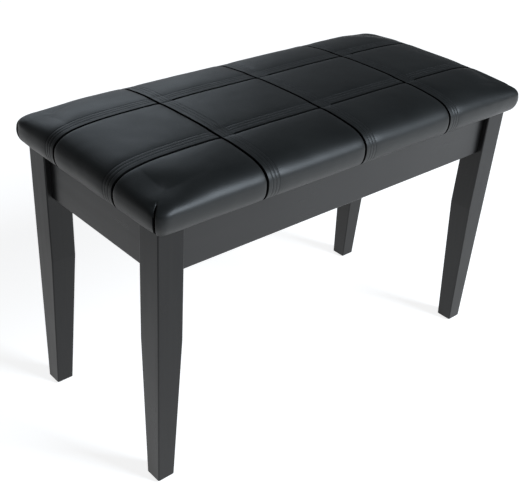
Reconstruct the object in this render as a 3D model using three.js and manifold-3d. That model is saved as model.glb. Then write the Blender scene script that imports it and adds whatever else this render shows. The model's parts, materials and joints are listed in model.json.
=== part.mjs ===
// Piano bench: four tapered legs, a shallow music compartment between the
// aprons, and a padded leather lid that swings up on two hinges at the back.
// Millimetres, +Z up. +X runs along the front to the right, +Y to the back.
// The origin is on the floor under the centre of the bench.

import * as THREE from "three";
import { mergeVertices } from "three/addons/utils/BufferGeometryUtils.js";
import Module from "manifold-3d";

const wasm = await Module();
wasm.setup();

// Frame
const FRAME_LENGTH = 730; // over the legs' outer faces, along X
const FRAME_DEPTH = 320; // over the legs' outer faces, along Y
const FRAME_TOP = 434; // top of the legs and aprons
const FIT_GAP = 0.3; // between pieces that touch
const ROUND_STEPS = 16; // facets round a hole or a shank
const SCREW_STEPS = 10; // facets round a wood screw

// Legs: square, with only the two inner faces tapered
const LEG_TOP_WIDTH = 42;
const LEG_FOOT_WIDTH = 29;
const LEG_TAPER_START = 252;
const LEG_EDGE_RADIUS = 1.8;
const FOOT_CHAMFER = 1.5;

// Glides under the feet
const GLIDE_HEIGHT = 1.7;
const GLIDE_RADIUS = 11;
const GLIDE_NAIL_RADIUS = 1.4;
const GLIDE_NAIL_LENGTH = 14;

// Aprons and the bottom panel held in their grooves
const APRON_THICKNESS = 18;
const APRON_HEIGHT = 73;
const APRON_SETBACK = 9.5; // behind the legs' outer faces
const APRON_EDGE_RADIUS = 1.5;
const GROOVE_DEPTH = 6;
const GROOVE_BASE = 5; // wood left below the groove
const GROOVE_HEIGHT = 4;

// Corner joints: a diagonal block drawn to the leg by a hanger bolt and a nut
const BLOCK_THICKNESS = 20;
const BLOCK_HEIGHT = 36;
const BLOCK_BASE = 376;
const BLOCK_LEG_GAP = 1;
const BOLT_RADIUS = 3;
const BOLT_DEPTH_IN_LEG = 26;
const NUT_RADIUS = 5.6;
const NUT_HEIGHT = 5;
const FLANGE_RADIUS = 8;
const FLANGE_HEIGHT = 1.4;
const BOLT_STICK_OUT = 2.5; // beyond the nut

// Lid: leather over foam over a plywood board, lined underneath
const SEAT_HEM = 437; // lower edge of the leather
const SEAT_TOP = 497;
const SEAT_LENGTH = 760; // at the widest part of the padding
const SEAT_DEPTH = 360;
const HEM_INSET = 9; // the hem pulls in from the widest part
const LEATHER_THICKNESS = 2;
const BOARD_BASE = 438.5;
const BOARD_THICKNESS = 12;
const BOARD_INSET = 14; // from the widest part of the padding
const BOARD_CORNER_RADIUS = 14;
const LINING_THICKNESS = 0.8;
const LINING_MARGIN = 28; // from the board's long edges
const LINING_END_MARGIN = 52; // from the board's short edges
const LINING_CORNER_RADIUS = 4;

// Hinges, on the back apron's top edge
const HINGE_OFFSET_X = 230; // from the centre to each hinge's middle
const HINGE_AXIS_Y = 163.5;
const HINGE_AXIS_Z = 433.6;
const HINGE_LENGTH = 60;
const HINGE_REACH = 29.5; // from the pin's axis to a leaf's front edge
const KNUCKLE_COUNT = 5;
const KNUCKLE_RADIUS = 3;
const LEAF_THICKNESS = 1.1;
const LOWER_LEAF_BASE = 0.5; // above the pin's axis
const UPPER_LEAF_BASE = 1.9;
const HINGE_PIN_RADIUS = 1.5;
const RUNNING_GAP = 0.1; // round every turning pin
const HINGE_SCREW_SPACING = 38;
const HINGE_SCREW_Y = 141.5;

// Wood screws
const SCREW_HEAD_RADIUS = 3.1;
const SCREW_SHANK_RADIUS = 1.5;
const SCREW_HEAD_HEIGHT = 1.4;
const SCREW_LENGTH = 11;

// Lid stays, one at each end: two arms that fold beside the side apron.
// Their four pivots make a parallelogram, so they follow the lid exactly.
const STAY_FIXED_PIVOT = { y: HINGE_AXIS_Y - 100, z: HINGE_AXIS_Z - 34 };
const STAY_LID_PIVOT = { y: HINGE_AXIS_Y - 118, z: HINGE_AXIS_Z - 12 };
const STAY_ELBOW = {
  y: STAY_FIXED_PIVOT.y + STAY_LID_PIVOT.y - HINGE_AXIS_Y,
  z: STAY_FIXED_PIVOT.z + STAY_LID_PIVOT.z - HINGE_AXIS_Z,
};
const ARM_HALF_WIDTH = 6;
const ARM_THICKNESS = 2;
const PLATE_THICKNESS = 1.5;
const STAY_APRON_SCREW = { y: STAY_FIXED_PIVOT.y - 15, z: STAY_FIXED_PIVOT.z + 8 };
const LUG_HALF_WIDTH = 7;
const FLANGE_LENGTH = 20; // of the bracket under the lid
const FLANGE_HALF_WIDTH = 9;
const FLANGE_SCREW_REACH = 12; // from the lug to the screw
const STAY_PIN_RADIUS = 2.5;
const STAY_HEAD_RADIUS = 4.4;
const STAY_HEAD_HEIGHT = 1.2;
const OPEN_PIVOT_GAP = 0.4; // round the pin on the lid's bracket

// Bumpers on the front legs
const BUMPER_RADIUS = 6;
const BUMPER_HEIGHT = 2.5;

const BLACK_WOOD = { color: 0x171412, roughness: 0.35, metalness: 0 };
const RAW_WOOD = { color: 0xb98f5e, roughness: 0.7, metalness: 0 };
const HARDBOARD = { color: 0x5c4030, roughness: 0.8, metalness: 0 };
const LEATHER = { color: 0x1c1d1e, roughness: 0.45, metalness: 0 };
const FOAM = { color: 0xd8cf9a, roughness: 0.95, metalness: 0 };
const LINING = { color: 0x1a1a1c, roughness: 0.95, metalness: 0 };
const STEEL = { color: 0xa9adb2, roughness: 0.35, metalness: 1 };
const NYLON = { color: 0x1b1b1b, roughness: 0.55, metalness: 0 };
const RUBBER = { color: 0x141414, roughness: 0.8, metalness: 0 };

const innerLegX = FRAME_LENGTH / 2 - LEG_TOP_WIDTH;
const innerLegY = FRAME_DEPTH / 2 - LEG_TOP_WIDTH;
const apronFaceX = FRAME_LENGTH / 2 - APRON_SETBACK;
const apronFaceY = FRAME_DEPTH / 2 - APRON_SETBACK;
const apronInnerX = apronFaceX - APRON_THICKNESS;
const apronInnerY = apronFaceY - APRON_THICKNESS;
const apronBase = FRAME_TOP - APRON_HEIGHT;

// Corners of the bench, as signs of X and Y
const CORNERS = [
  { name: "front_left", x: -1, y: -1 },
  { name: "front_right", x: 1, y: -1 },
  { name: "back_left", x: -1, y: 1 },
  { name: "back_right", x: 1, y: 1 },
];
const SIDES = [
  { name: "left", x: -1 },
  { name: "right", x: 1 },
];

const bench = new THREE.Group();

function addPart(name, geometry, look, parent = bench) {
  const mesh = new THREE.Mesh(geometry, new THREE.MeshStandardMaterial(look));
  mesh.name = name;
  parent.add(mesh);
  return mesh;
}

// ---- Solids and booleans ----

function toSolid(geometry) {
  const bare = geometry.clone();
  bare.deleteAttribute("normal");
  bare.deleteAttribute("uv");
  const merged = mergeVertices(bare, 1e-4);
  return new wasm.Manifold(new wasm.Mesh({
    numProp: 3,
    vertProperties: new Float32Array(merged.attributes.position.array),
    triVerts: new Uint32Array(merged.index.array),
  }));
}

function toGeometry(solid) {
  const mesh = solid.getMesh();
  const geometry = new THREE.BufferGeometry();
  geometry.setAttribute("position", new THREE.BufferAttribute(mesh.vertProperties, 3));
  geometry.setIndex(new THREE.BufferAttribute(mesh.triVerts, 1));
  return geometry;
}

function cut(geometry, cutters) {
  let solid = toSolid(geometry);
  for (const cutter of cutters) {
    solid = solid.subtract(toSolid(cutter));
  }
  return toGeometry(solid);
}

function join(geometries) {
  let solid = toSolid(geometries[0]);
  for (const geometry of geometries.slice(1)) {
    solid = solid.add(toSolid(geometry));
  }
  return toGeometry(solid);
}

function box(low, high) {
  const size = high.map((value, axis) => value - low[axis]);
  const middle = high.map((value, axis) => (value + low[axis]) / 2);
  return new THREE.BoxGeometry(...size).translate(...middle);
}

// A round bar along X, from one end to the other
function barAlongX(radius, start, end, y = 0, z = 0) {
  return new THREE.CylinderGeometry(radius, radius, end - start, ROUND_STEPS)
    .rotateZ(Math.PI / 2)
    .translate((start + end) / 2, y, z);
}

// A round bar along Z
function barAlongZ(radius, bottom, top, x = 0, y = 0) {
  return new THREE.CylinderGeometry(radius, radius, top - bottom, ROUND_STEPS)
    .rotateX(Math.PI / 2)
    .translate(x, y, (top + bottom) / 2);
}

// A turned piece about Z, from [radius, height] points that start and end on the axis
function turned(points, steps = ROUND_STEPS) {
  const profile = points.map(([radius, height]) => new THREE.Vector2(radius, height));
  return new THREE.LatheGeometry(profile, steps).rotateX(Math.PI / 2);
}

// A flat outline in the Y-Z plane, thickened along X from start to end
function plateAlongX(shape, start, end) {
  const turn = new THREE.Matrix4().makeBasis(
    new THREE.Vector3(0, 1, 0),
    new THREE.Vector3(0, 0, 1),
    new THREE.Vector3(1, 0, 0),
  );
  return new THREE.ExtrudeGeometry(shape, { depth: end - start, bevelEnabled: false, curveSegments: 12 })
    .applyMatrix4(turn)
    .translate(start, 0, 0);
}

// One level outline with rounded corners, counterclockwise from above
function roundedRing(xLow, yLow, xHigh, yHigh, radius, z, cornerSteps) {
  const centres = [
    [xHigh - radius, yHigh - radius],
    [xLow + radius, yHigh - radius],
    [xLow + radius, yLow + radius],
    [xHigh - radius, yLow + radius],
  ];
  const ring = [];
  centres.forEach(([x, y], corner) => {
    for (let step = 0; step <= cornerSteps; step += 1) {
      const angle = (corner + step / cornerSteps) * Math.PI / 2;
      ring.push([x + radius * Math.cos(angle), y + radius * Math.sin(angle), z]);
    }
  });
  return ring;
}

// A closed solid through level outlines, from the lowest to the highest
function lofted(rings) {
  const count = rings[0].length;
  const faces = [];
  for (let level = 0; level < rings.length - 1; level += 1) {
    for (let step = 0; step < count; step += 1) {
      const low = level * count + step;
      const lowNext = level * count + (step + 1) % count;
      faces.push(low, lowNext, lowNext + count);
      faces.push(low, lowNext + count, low + count);
    }
  }
  const last = (rings.length - 1) * count;
  for (let step = 1; step < count - 1; step += 1) {
    faces.push(0, step + 1, step);
    faces.push(last, last + step, last + step + 1);
  }
  const geometry = new THREE.BufferGeometry();
  geometry.setAttribute("position", new THREE.Float32BufferAttribute(rings.flat(2), 3));
  geometry.setIndex(faces);
  return geometry;
}

// ---- Screws ----

// A countersunk wood screw, driven down -Z, with the top of its head at 0
function screwBody(growth = 0) {
  const head = SCREW_HEAD_RADIUS + growth;
  const shank = SCREW_SHANK_RADIUS + growth;
  const rise = growth > 0 ? FIT_GAP : 0;
  return turned([
    [0, -SCREW_LENGTH - growth],
    [shank * 0.4, -SCREW_LENGTH - growth],
    [shank, -SCREW_LENGTH + 3],
    [shank, -SCREW_HEAD_HEIGHT - growth],
    [head, -FIT_GAP],
    [head, rise],
    [0, rise],
  ], SCREW_STEPS);
}

function screwGeometry() {
  const slotLength = SCREW_HEAD_RADIUS * 0.62;
  const slotWidth = 0.45;
  const slotDepth = 0.9;
  const slots = [
    box([-slotLength, -slotWidth, -slotDepth], [slotLength, slotWidth, 1]),
    box([-slotWidth, -slotLength, -slotDepth], [slotWidth, slotLength, 1]),
  ];
  return cut(screwBody(), slots);
}

// The room a screw needs, placed as the screw is placed
function screwHole(position, rotation = [0, 0, 0]) {
  const turn = new THREE.Matrix4().makeRotationFromEuler(new THREE.Euler(...rotation));
  return screwBody(FIT_GAP).applyMatrix4(turn).translate(...position);
}

function addScrew(name, position, rotation = [0, 0, 0]) {
  const screw = addPart(name, screwGeometry(), STEEL);
  screw.position.set(...position);
  screw.rotation.set(...rotation);
}

// ---- Legs and corner joints ----

// Each corner has its own frame at the leg's inner edge, with X pointing
// diagonally into the compartment.
function cornerGroup(corner) {
  const group = new THREE.Group();
  group.position.set(corner.x * innerLegX, corner.y * innerLegY, BLOCK_BASE + BLOCK_HEIGHT / 2);
  group.rotation.z = Math.atan2(-corner.y, -corner.x);
  group.updateMatrixWorld();
  return group;
}

function legRing(corner, width, inset, z) {
  const outerX = corner.x * (FRAME_LENGTH / 2 - inset);
  const outerY = corner.y * (FRAME_DEPTH / 2 - inset);
  const innerX = corner.x * (FRAME_LENGTH / 2 - width + inset);
  const innerY = corner.y * (FRAME_DEPTH / 2 - width + inset);
  return roundedRing(
    Math.min(outerX, innerX), Math.min(outerY, innerY),
    Math.max(outerX, innerX), Math.max(outerY, innerY),
    LEG_EDGE_RADIUS, z, 3,
  );
}

function footCentre(corner) {
  return [
    corner.x * (FRAME_LENGTH / 2 - LEG_FOOT_WIDTH / 2),
    corner.y * (FRAME_DEPTH / 2 - LEG_FOOT_WIDTH / 2),
  ];
}

function legGeometry(corner) {
  const foot = GLIDE_HEIGHT + FIT_GAP;
  const post = lofted([
    legRing(corner, LEG_FOOT_WIDTH, FOOT_CHAMFER, foot),
    legRing(corner, LEG_FOOT_WIDTH, 0, foot + FOOT_CHAMFER),
    legRing(corner, LEG_TOP_WIDTH, 0, LEG_TAPER_START),
    legRing(corner, LEG_TOP_WIDTH, 0, FRAME_TOP),
  ]);
  const boltHole = barAlongX(BOLT_RADIUS + FIT_GAP, -BOLT_DEPTH_IN_LEG - FIT_GAP, 10);
  boltHole.applyMatrix4(cornerGroup(corner).matrixWorld);
  const nailHole = barAlongZ(
    GLIDE_NAIL_RADIUS + FIT_GAP, 0, foot + GLIDE_NAIL_LENGTH, ...footCentre(corner),
  );
  return cut(post, [boltHole, nailHole]);
}

function glideGeometry() {
  return turned([
    [0, 0],
    [GLIDE_RADIUS - 0.8, 0],
    [GLIDE_RADIUS, 0.8],
    [GLIDE_RADIUS, GLIDE_HEIGHT],
    [GLIDE_NAIL_RADIUS, GLIDE_HEIGHT],
    [GLIDE_NAIL_RADIUS, GLIDE_NAIL_LENGTH - 2],
    [0, GLIDE_NAIL_LENGTH],
  ]);
}

// Distances inwards from the leg's inner edge, along the corner's diagonal
const blockOuter = BLOCK_LEG_GAP;
const blockInner = blockOuter + BLOCK_THICKNESS;
const nutOuter = blockInner + FIT_GAP;

function blockGeometry() {
  // The block's ends meet the aprons' inner faces at 45 degrees.
  const legDiagonal = (LEG_TOP_WIDTH - APRON_SETBACK - APRON_THICKNESS) * Math.SQRT2;
  const halfWidth = (distance) => legDiagonal + distance - FIT_GAP * Math.SQRT2;
  const outline = new THREE.Shape([
    new THREE.Vector2(blockOuter, -halfWidth(blockOuter)),
    new THREE.Vector2(blockInner, -halfWidth(blockInner)),
    new THREE.Vector2(blockInner, halfWidth(blockInner)),
    new THREE.Vector2(blockOuter, halfWidth(blockOuter)),
  ]);
  const block = new THREE.ExtrudeGeometry(outline, { depth: BLOCK_HEIGHT, bevelEnabled: false })
    .translate(0, 0, -BLOCK_HEIGHT / 2);
  return cut(block, [barAlongX(BOLT_RADIUS + FIT_GAP, 0, blockInner + 1)]);
}

function boltGeometry() {
  const end = nutOuter + FLANGE_HEIGHT + NUT_HEIGHT + BOLT_STICK_OUT;
  return turned([
    [0, -BOLT_DEPTH_IN_LEG],
    [BOLT_RADIUS * 0.3, -BOLT_DEPTH_IN_LEG],
    [BOLT_RADIUS, -BOLT_DEPTH_IN_LEG + 6],
    [BOLT_RADIUS, end - 1],
    [BOLT_RADIUS - 0.9, end],
    [0, end],
  ]).rotateY(Math.PI / 2);
}

function nutGeometry() {
  const flange = barAlongX(FLANGE_RADIUS, nutOuter, nutOuter + FLANGE_HEIGHT);
  const hexStart = nutOuter + FLANGE_HEIGHT / 2;
  const hexEnd = nutOuter + FLANGE_HEIGHT + NUT_HEIGHT;
  const hex = new THREE.CylinderGeometry(NUT_RADIUS, NUT_RADIUS, hexEnd - hexStart, 6)
    .rotateZ(Math.PI / 2)
    .translate((hexStart + hexEnd) / 2, 0, 0);
  const hole = barAlongX(BOLT_RADIUS + FIT_GAP / 2, nutOuter - 1, hexEnd + 1);
  return cut(join([flange, hex]), [hole]);
}

function addCorner(corner) {
  addPart(`${corner.name}_leg`, legGeometry(corner), BLACK_WOOD);
  const glide = addPart(`${corner.name}_glide`, glideGeometry(), NYLON);
  glide.position.set(...footCentre(corner), 0);
  const joint = cornerGroup(corner);
  addPart(`${corner.name}_corner_block`, blockGeometry(), RAW_WOOD, joint);
  addPart(`${corner.name}_hanger_bolt`, boltGeometry(), STEEL, joint);
  addPart(`${corner.name}_flange_nut`, nutGeometry(), STEEL, joint);
  bench.add(joint);
}

// ---- Aprons and bottom panel ----

// Extruded along X, with the outer face at Y = 0 and the inner face behind it
function apronGeometry(length) {
  const edge = APRON_EDGE_RADIUS;
  const grooveLow = GROOVE_BASE;
  const grooveHigh = GROOVE_BASE + GROOVE_HEIGHT;
  const outline = new THREE.Shape();
  outline.moveTo(edge, 0);
  outline.lineTo(APRON_THICKNESS - edge, 0);
  outline.lineTo(APRON_THICKNESS, edge);
  outline.lineTo(APRON_THICKNESS, grooveLow);
  outline.lineTo(APRON_THICKNESS - GROOVE_DEPTH, grooveLow);
  outline.lineTo(APRON_THICKNESS - GROOVE_DEPTH, grooveHigh);
  outline.lineTo(APRON_THICKNESS, grooveHigh);
  outline.lineTo(APRON_THICKNESS, APRON_HEIGHT - edge / 2);
  outline.lineTo(APRON_THICKNESS - edge / 2, APRON_HEIGHT);
  outline.lineTo(edge / 2, APRON_HEIGHT);
  outline.lineTo(0, APRON_HEIGHT - edge / 2);
  outline.lineTo(0, edge);
  outline.absarc(edge, edge, edge, Math.PI, 1.5 * Math.PI, false);
  return plateAlongX(outline, -length / 2, length / 2);
}

function addAprons() {
  const frontLength = 2 * (innerLegX - FIT_GAP);
  const sideLength = 2 * (innerLegY - FIT_GAP);
  const quarter = Math.PI / 2;

  const front = addPart("front_apron", apronGeometry(frontLength), BLACK_WOOD);
  front.position.set(0, -apronFaceY, apronBase);

  const leafTop = HINGE_AXIS_Z + LOWER_LEAF_BASE + LEAF_THICKNESS - apronBase;
  const hingeHoles = hingeScrewPositions().map((x) => screwHole([x, apronFaceY - HINGE_SCREW_Y, leafTop]));
  const back = addPart("back_apron", cut(apronGeometry(frontLength), hingeHoles), BLACK_WOOD);
  back.position.set(0, apronFaceY, apronBase);
  back.rotation.z = 2 * quarter;

  for (const side of SIDES) {
    const screw = stayScrewInApron(side);
    const hole = screwHole(
      [side.x * screw.y, APRON_THICKNESS + PLATE_THICKNESS + FIT_GAP, screw.z - apronBase],
      [-quarter, 0, 0],
    );
    const apron = addPart(`${side.name}_apron`, cut(apronGeometry(sideLength), [hole]), BLACK_WOOD);
    apron.position.set(side.x * apronFaceX, 0, apronBase);
    apron.rotation.z = side.x * quarter;
  }
}

// A thin panel in the aprons' grooves, notched round the four legs
function addBottomPanel() {
  const reach = GROOVE_DEPTH - 1;
  const halfLength = apronInnerX + reach;
  const halfDepth = apronInnerY + reach;
  const low = apronBase + GROOVE_BASE + FIT_GAP;
  const high = apronBase + GROOVE_BASE + GROOVE_HEIGHT - FIT_GAP;
  const notches = CORNERS.map((corner) => {
    const near = [corner.x * (innerLegX - FIT_GAP), corner.y * (innerLegY - FIT_GAP)];
    const far = [corner.x * FRAME_LENGTH, corner.y * FRAME_DEPTH];
    return box(
      [Math.min(near[0], far[0]), Math.min(near[1], far[1]), low - 1],
      [Math.max(near[0], far[0]), Math.max(near[1], far[1]), high + 1],
    );
  });
  const sheet = box([-halfLength, -halfDepth, low], [halfLength, halfDepth, high]);
  addPart("bottom_panel", cut(sheet, notches), HARDBOARD);
}

// ---- Lid ----

// The padding's outline at each height: how far it pulls in from its widest
// part, and the radius of its corners. inset shrinks the whole form evenly.
function paddingGeometry(bottom, inset) {
  const levels = [
    { z: bottom, pull: HEM_INSET, radius: 9 },
    { z: SEAT_HEM + 9, pull: HEM_INSET, radius: 9 },
    { z: SEAT_HEM + 15, pull: 5, radius: 14 },
    { z: SEAT_HEM + 22, pull: 1.4, radius: 18 },
    { z: SEAT_HEM + 30, pull: 0, radius: 20 },
    { z: SEAT_TOP - 22 - inset, pull: 1.6, radius: 22 },
    { z: SEAT_TOP - 15 - inset, pull: 6, radius: 24 },
    { z: SEAT_TOP - 10 - inset, pull: 13, radius: 27 },
    { z: SEAT_TOP - 7 - inset, pull: 22, radius: 30 },
    { z: SEAT_TOP - 4 - inset, pull: 50, radius: 42 },
    { z: SEAT_TOP - 1 - inset, pull: 110, radius: 50 },
    { z: SEAT_TOP - inset, pull: 160, radius: 12 },
  ];
  return lofted(levels.map((level) => {
    const halfLength = SEAT_LENGTH / 2 - level.pull - inset;
    const halfDepth = SEAT_DEPTH / 2 - level.pull - inset;
    return roundedRing(-halfLength, -halfDepth, halfLength, halfDepth, level.radius, level.z, 6);
  }));
}

// Everything of a padding form that lies above a height
function above(geometry, height) {
  const floor = box([-SEAT_LENGTH, -SEAT_DEPTH, height - 100], [SEAT_LENGTH, SEAT_DEPTH, height]);
  return cut(geometry, [floor]);
}

function addLid() {
  const hollow = paddingGeometry(SEAT_HEM - 10, LEATHER_THICKNESS);
  addPart("seat_cover", cut(paddingGeometry(SEAT_HEM, 0), [hollow]), LEATHER);

  const boardTop = BOARD_BASE + BOARD_THICKNESS;
  const foamForm = paddingGeometry(SEAT_HEM - 10, LEATHER_THICKNESS + FIT_GAP);
  addPart("foam_pad", above(foamForm, boardTop + FIT_GAP), FOAM);

  const halfLength = SEAT_LENGTH / 2 - BOARD_INSET;
  const halfDepth = SEAT_DEPTH / 2 - BOARD_INSET;
  const outline = (z) => roundedRing(
    -halfLength, -halfDepth, halfLength, halfDepth, BOARD_CORNER_RADIUS, z, 4,
  );
  const leafFace = HINGE_AXIS_Z + UPPER_LEAF_BASE;
  const flip = [Math.PI, 0, 0];
  const holes = hingeScrewPositions().map((x) => screwHole([x, HINGE_SCREW_Y, leafFace], flip));
  for (const side of SIDES) {
    const screw = stayScrewInLid(side);
    holes.push(screwHole([screw.x, screw.y, screw.z], flip));
  }
  addPart("lid_board", cut(lofted([outline(BOARD_BASE), outline(boardTop)]), holes), RAW_WOOD);

  const liningHalfLength = halfLength - LINING_END_MARGIN;
  const liningHalfDepth = halfDepth - LINING_MARGIN;
  const liningOutline = (z) => roundedRing(
    -liningHalfLength, -liningHalfDepth, liningHalfLength, liningHalfDepth, LINING_CORNER_RADIUS, z, 2,
  );
  const liningTop = BOARD_BASE - FIT_GAP;
  const lining = lofted([liningOutline(liningTop - LINING_THICKNESS), liningOutline(liningTop)]);
  addPart("lid_lining", lining, LINING);
}

// ---- Hinges ----

function hingeScrewPositions() {
  const positions = [];
  for (const side of SIDES) {
    for (const along of [-0.5, 0.5]) {
      positions.push(side.x * (HINGE_OFFSET_X + along * HINGE_SCREW_SPACING));
    }
  }
  return positions;
}

// A leaf with every other knuckle: the lower one has knuckles 0, 2 and 4
function leafGeometry(base, firstKnuckle) {
  const half = HINGE_LENGTH / 2;
  const pitch = HINGE_LENGTH / KNUCKLE_COUNT;
  const clear = KNUCKLE_RADIUS + 0.4;
  const plate = box([-half, -HINGE_REACH, base], [half, 0, base + LEAF_THICKNESS]);
  const cutters = [barAlongX(HINGE_PIN_RADIUS + RUNNING_GAP, -half - 1, half + 1)];
  for (let knuckle = 1 - firstKnuckle; knuckle < KNUCKLE_COUNT; knuckle += 2) {
    const start = -half + knuckle * pitch - (knuckle === 0 ? 1 : FIT_GAP / 2);
    const end = -half + (knuckle + 1) * pitch + (knuckle === KNUCKLE_COUNT - 1 ? 1 : FIT_GAP / 2);
    cutters.push(box([start, -clear, -clear], [end, clear, clear]));
  }
  for (const along of [-0.5, 0.5]) {
    const faceUp = firstKnuckle === 0;
    const face = faceUp ? base + LEAF_THICKNESS : base;
    const position = [along * HINGE_SCREW_SPACING, HINGE_SCREW_Y - HINGE_AXIS_Y, face];
    cutters.push(screwHole(position, faceUp ? [0, 0, 0] : [Math.PI, 0, 0]));
  }
  return cut(join([plate, barAlongX(KNUCKLE_RADIUS, -half, half)]), cutters);
}

function hingePinGeometry() {
  const half = HINGE_LENGTH / 2 + FIT_GAP;
  const head = HINGE_PIN_RADIUS + 0.9;
  return turned([
    [0, -half - 1.2],
    [head - 0.6, -half - 1.2],
    [head, -half - 0.6],
    [head, -half],
    [HINGE_PIN_RADIUS, -half],
    [HINGE_PIN_RADIUS, half],
    [head, half],
    [head, half + 0.6],
    [head - 0.6, half + 1.2],
    [0, half + 1.2],
  ]).rotateY(Math.PI / 2);
}

function addHinge(side) {
  const group = new THREE.Group();
  group.position.set(side.x * HINGE_OFFSET_X, HINGE_AXIS_Y, HINGE_AXIS_Z);
  addPart(`${side.name}_hinge_lower_leaf`, leafGeometry(LOWER_LEAF_BASE, 0), STEEL, group);
  addPart(`${side.name}_hinge_upper_leaf`, leafGeometry(UPPER_LEAF_BASE, 1), STEEL, group);
  addPart(`${side.name}_hinge_pin`, hingePinGeometry(), STEEL, group);
  bench.add(group);

  const lowerFace = HINGE_AXIS_Z + LOWER_LEAF_BASE + LEAF_THICKNESS;
  const upperFace = HINGE_AXIS_Z + UPPER_LEAF_BASE;
  for (const along of [-0.5, 0.5]) {
    const x = side.x * HINGE_OFFSET_X + along * HINGE_SCREW_SPACING;
    const place = along < 0 ? 1 : 2;
    addScrew(`${side.name}_hinge_lower_screw_${place}`, [x, HINGE_SCREW_Y, lowerFace]);
    addScrew(`${side.name}_hinge_upper_screw_${place}`, [x, HINGE_SCREW_Y, upperFace], [Math.PI, 0, 0]);
  }
}

// ---- Lid stays ----

// Layers of a stay, as distances inwards from the side apron's inner face
const plateStart = FIT_GAP;
const lowerArmStart = plateStart + PLATE_THICKNESS + FIT_GAP;
const upperArmStart = lowerArmStart + ARM_THICKNESS + FIT_GAP;
const lidPlateStart = upperArmStart + ARM_THICKNESS + FIT_GAP;

function stayScrewInApron(side) {
  return {
    x: side.x * (apronInnerX - plateStart - PLATE_THICKNESS),
    ...STAY_APRON_SCREW,
  };
}

function stayScrewInLid(side) {
  return {
    x: side.x * (apronInnerX - lidPlateStart - FLANGE_SCREW_REACH),
    y: STAY_LID_PIVOT.y,
    z: SEAT_HEM - FIT_GAP - PLATE_THICKNESS,
  };
}

// A bar outline with round ends between two points of the Y-Z plane
function barOutline(from, to, halfWidth) {
  const along = Math.atan2(to.z - from.z, to.y - from.y);
  const quarter = Math.PI / 2;
  const outline = new THREE.Shape();
  outline.absarc(from.y, from.z, halfWidth, along + quarter, along + 3 * quarter, false);
  outline.absarc(to.y, to.z, halfWidth, along - quarter, along + quarter, false);
  outline.closePath();
  return outline;
}

// A span inwards from the side apron, as ordered X values
function span(side, start, end) {
  const ends = [side.x * (apronInnerX - start), side.x * (apronInnerX - end)];
  return ends.sort((a, b) => a - b);
}

function stayPin(side, pivot, start, end) {
  const shank = barAlongX(STAY_PIN_RADIUS, ...span(side, start, end), pivot.y, pivot.z);
  const head = barAlongX(STAY_HEAD_RADIUS, ...span(side, end - 0.01, end + STAY_HEAD_HEIGHT), pivot.y, pivot.z);
  return [shank, head];
}

function pinHole(side, pivot, gap) {
  return barAlongX(STAY_PIN_RADIUS + gap, ...span(side, 0, 60), pivot.y, pivot.z);
}

function addStay(side) {
  const overlap = 0.5;

  const plate = plateAlongX(
    barOutline(STAY_APRON_SCREW, STAY_FIXED_PIVOT, LUG_HALF_WIDTH),
    ...span(side, plateStart, plateStart + PLATE_THICKNESS),
  );
  const fixedPin = stayPin(
    side, STAY_FIXED_PIVOT, plateStart + overlap, lowerArmStart + ARM_THICKNESS + FIT_GAP,
  );
  const apronScrew = stayScrewInApron(side);
  const apronScrewPlace = [apronScrew.x, apronScrew.y, apronScrew.z];
  const apronScrewTurn = [0, -side.x * Math.PI / 2, 0];
  addPart(
    `${side.name}_stay_apron_bracket`,
    cut(join([plate, ...fixedPin]), [screwHole(apronScrewPlace, apronScrewTurn)]),
    STEEL,
  );
  addScrew(`${side.name}_stay_apron_screw`, apronScrewPlace, apronScrewTurn);

  const lowerPlate = plateAlongX(
    barOutline(STAY_FIXED_PIVOT, STAY_ELBOW, ARM_HALF_WIDTH),
    ...span(side, lowerArmStart, lowerArmStart + ARM_THICKNESS),
  );
  const elbowPin = stayPin(
    side, STAY_ELBOW, lowerArmStart + overlap, upperArmStart + ARM_THICKNESS + FIT_GAP,
  );
  const lowerArm = cut(lowerPlate, [pinHole(side, STAY_FIXED_PIVOT, RUNNING_GAP)]);
  addPart(`${side.name}_stay_lower_arm`, join([lowerArm, ...elbowPin]), STEEL);

  const upperPlate = plateAlongX(
    barOutline(STAY_ELBOW, STAY_LID_PIVOT, ARM_HALF_WIDTH),
    ...span(side, upperArmStart, upperArmStart + ARM_THICKNESS),
  );
  const upperHoles = [
    pinHole(side, STAY_ELBOW, RUNNING_GAP),
    pinHole(side, STAY_LID_PIVOT, OPEN_PIVOT_GAP),
  ];
  addPart(`${side.name}_stay_upper_arm`, cut(upperPlate, upperHoles), STEEL);

  addLidBracket(side, overlap);
}

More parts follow.
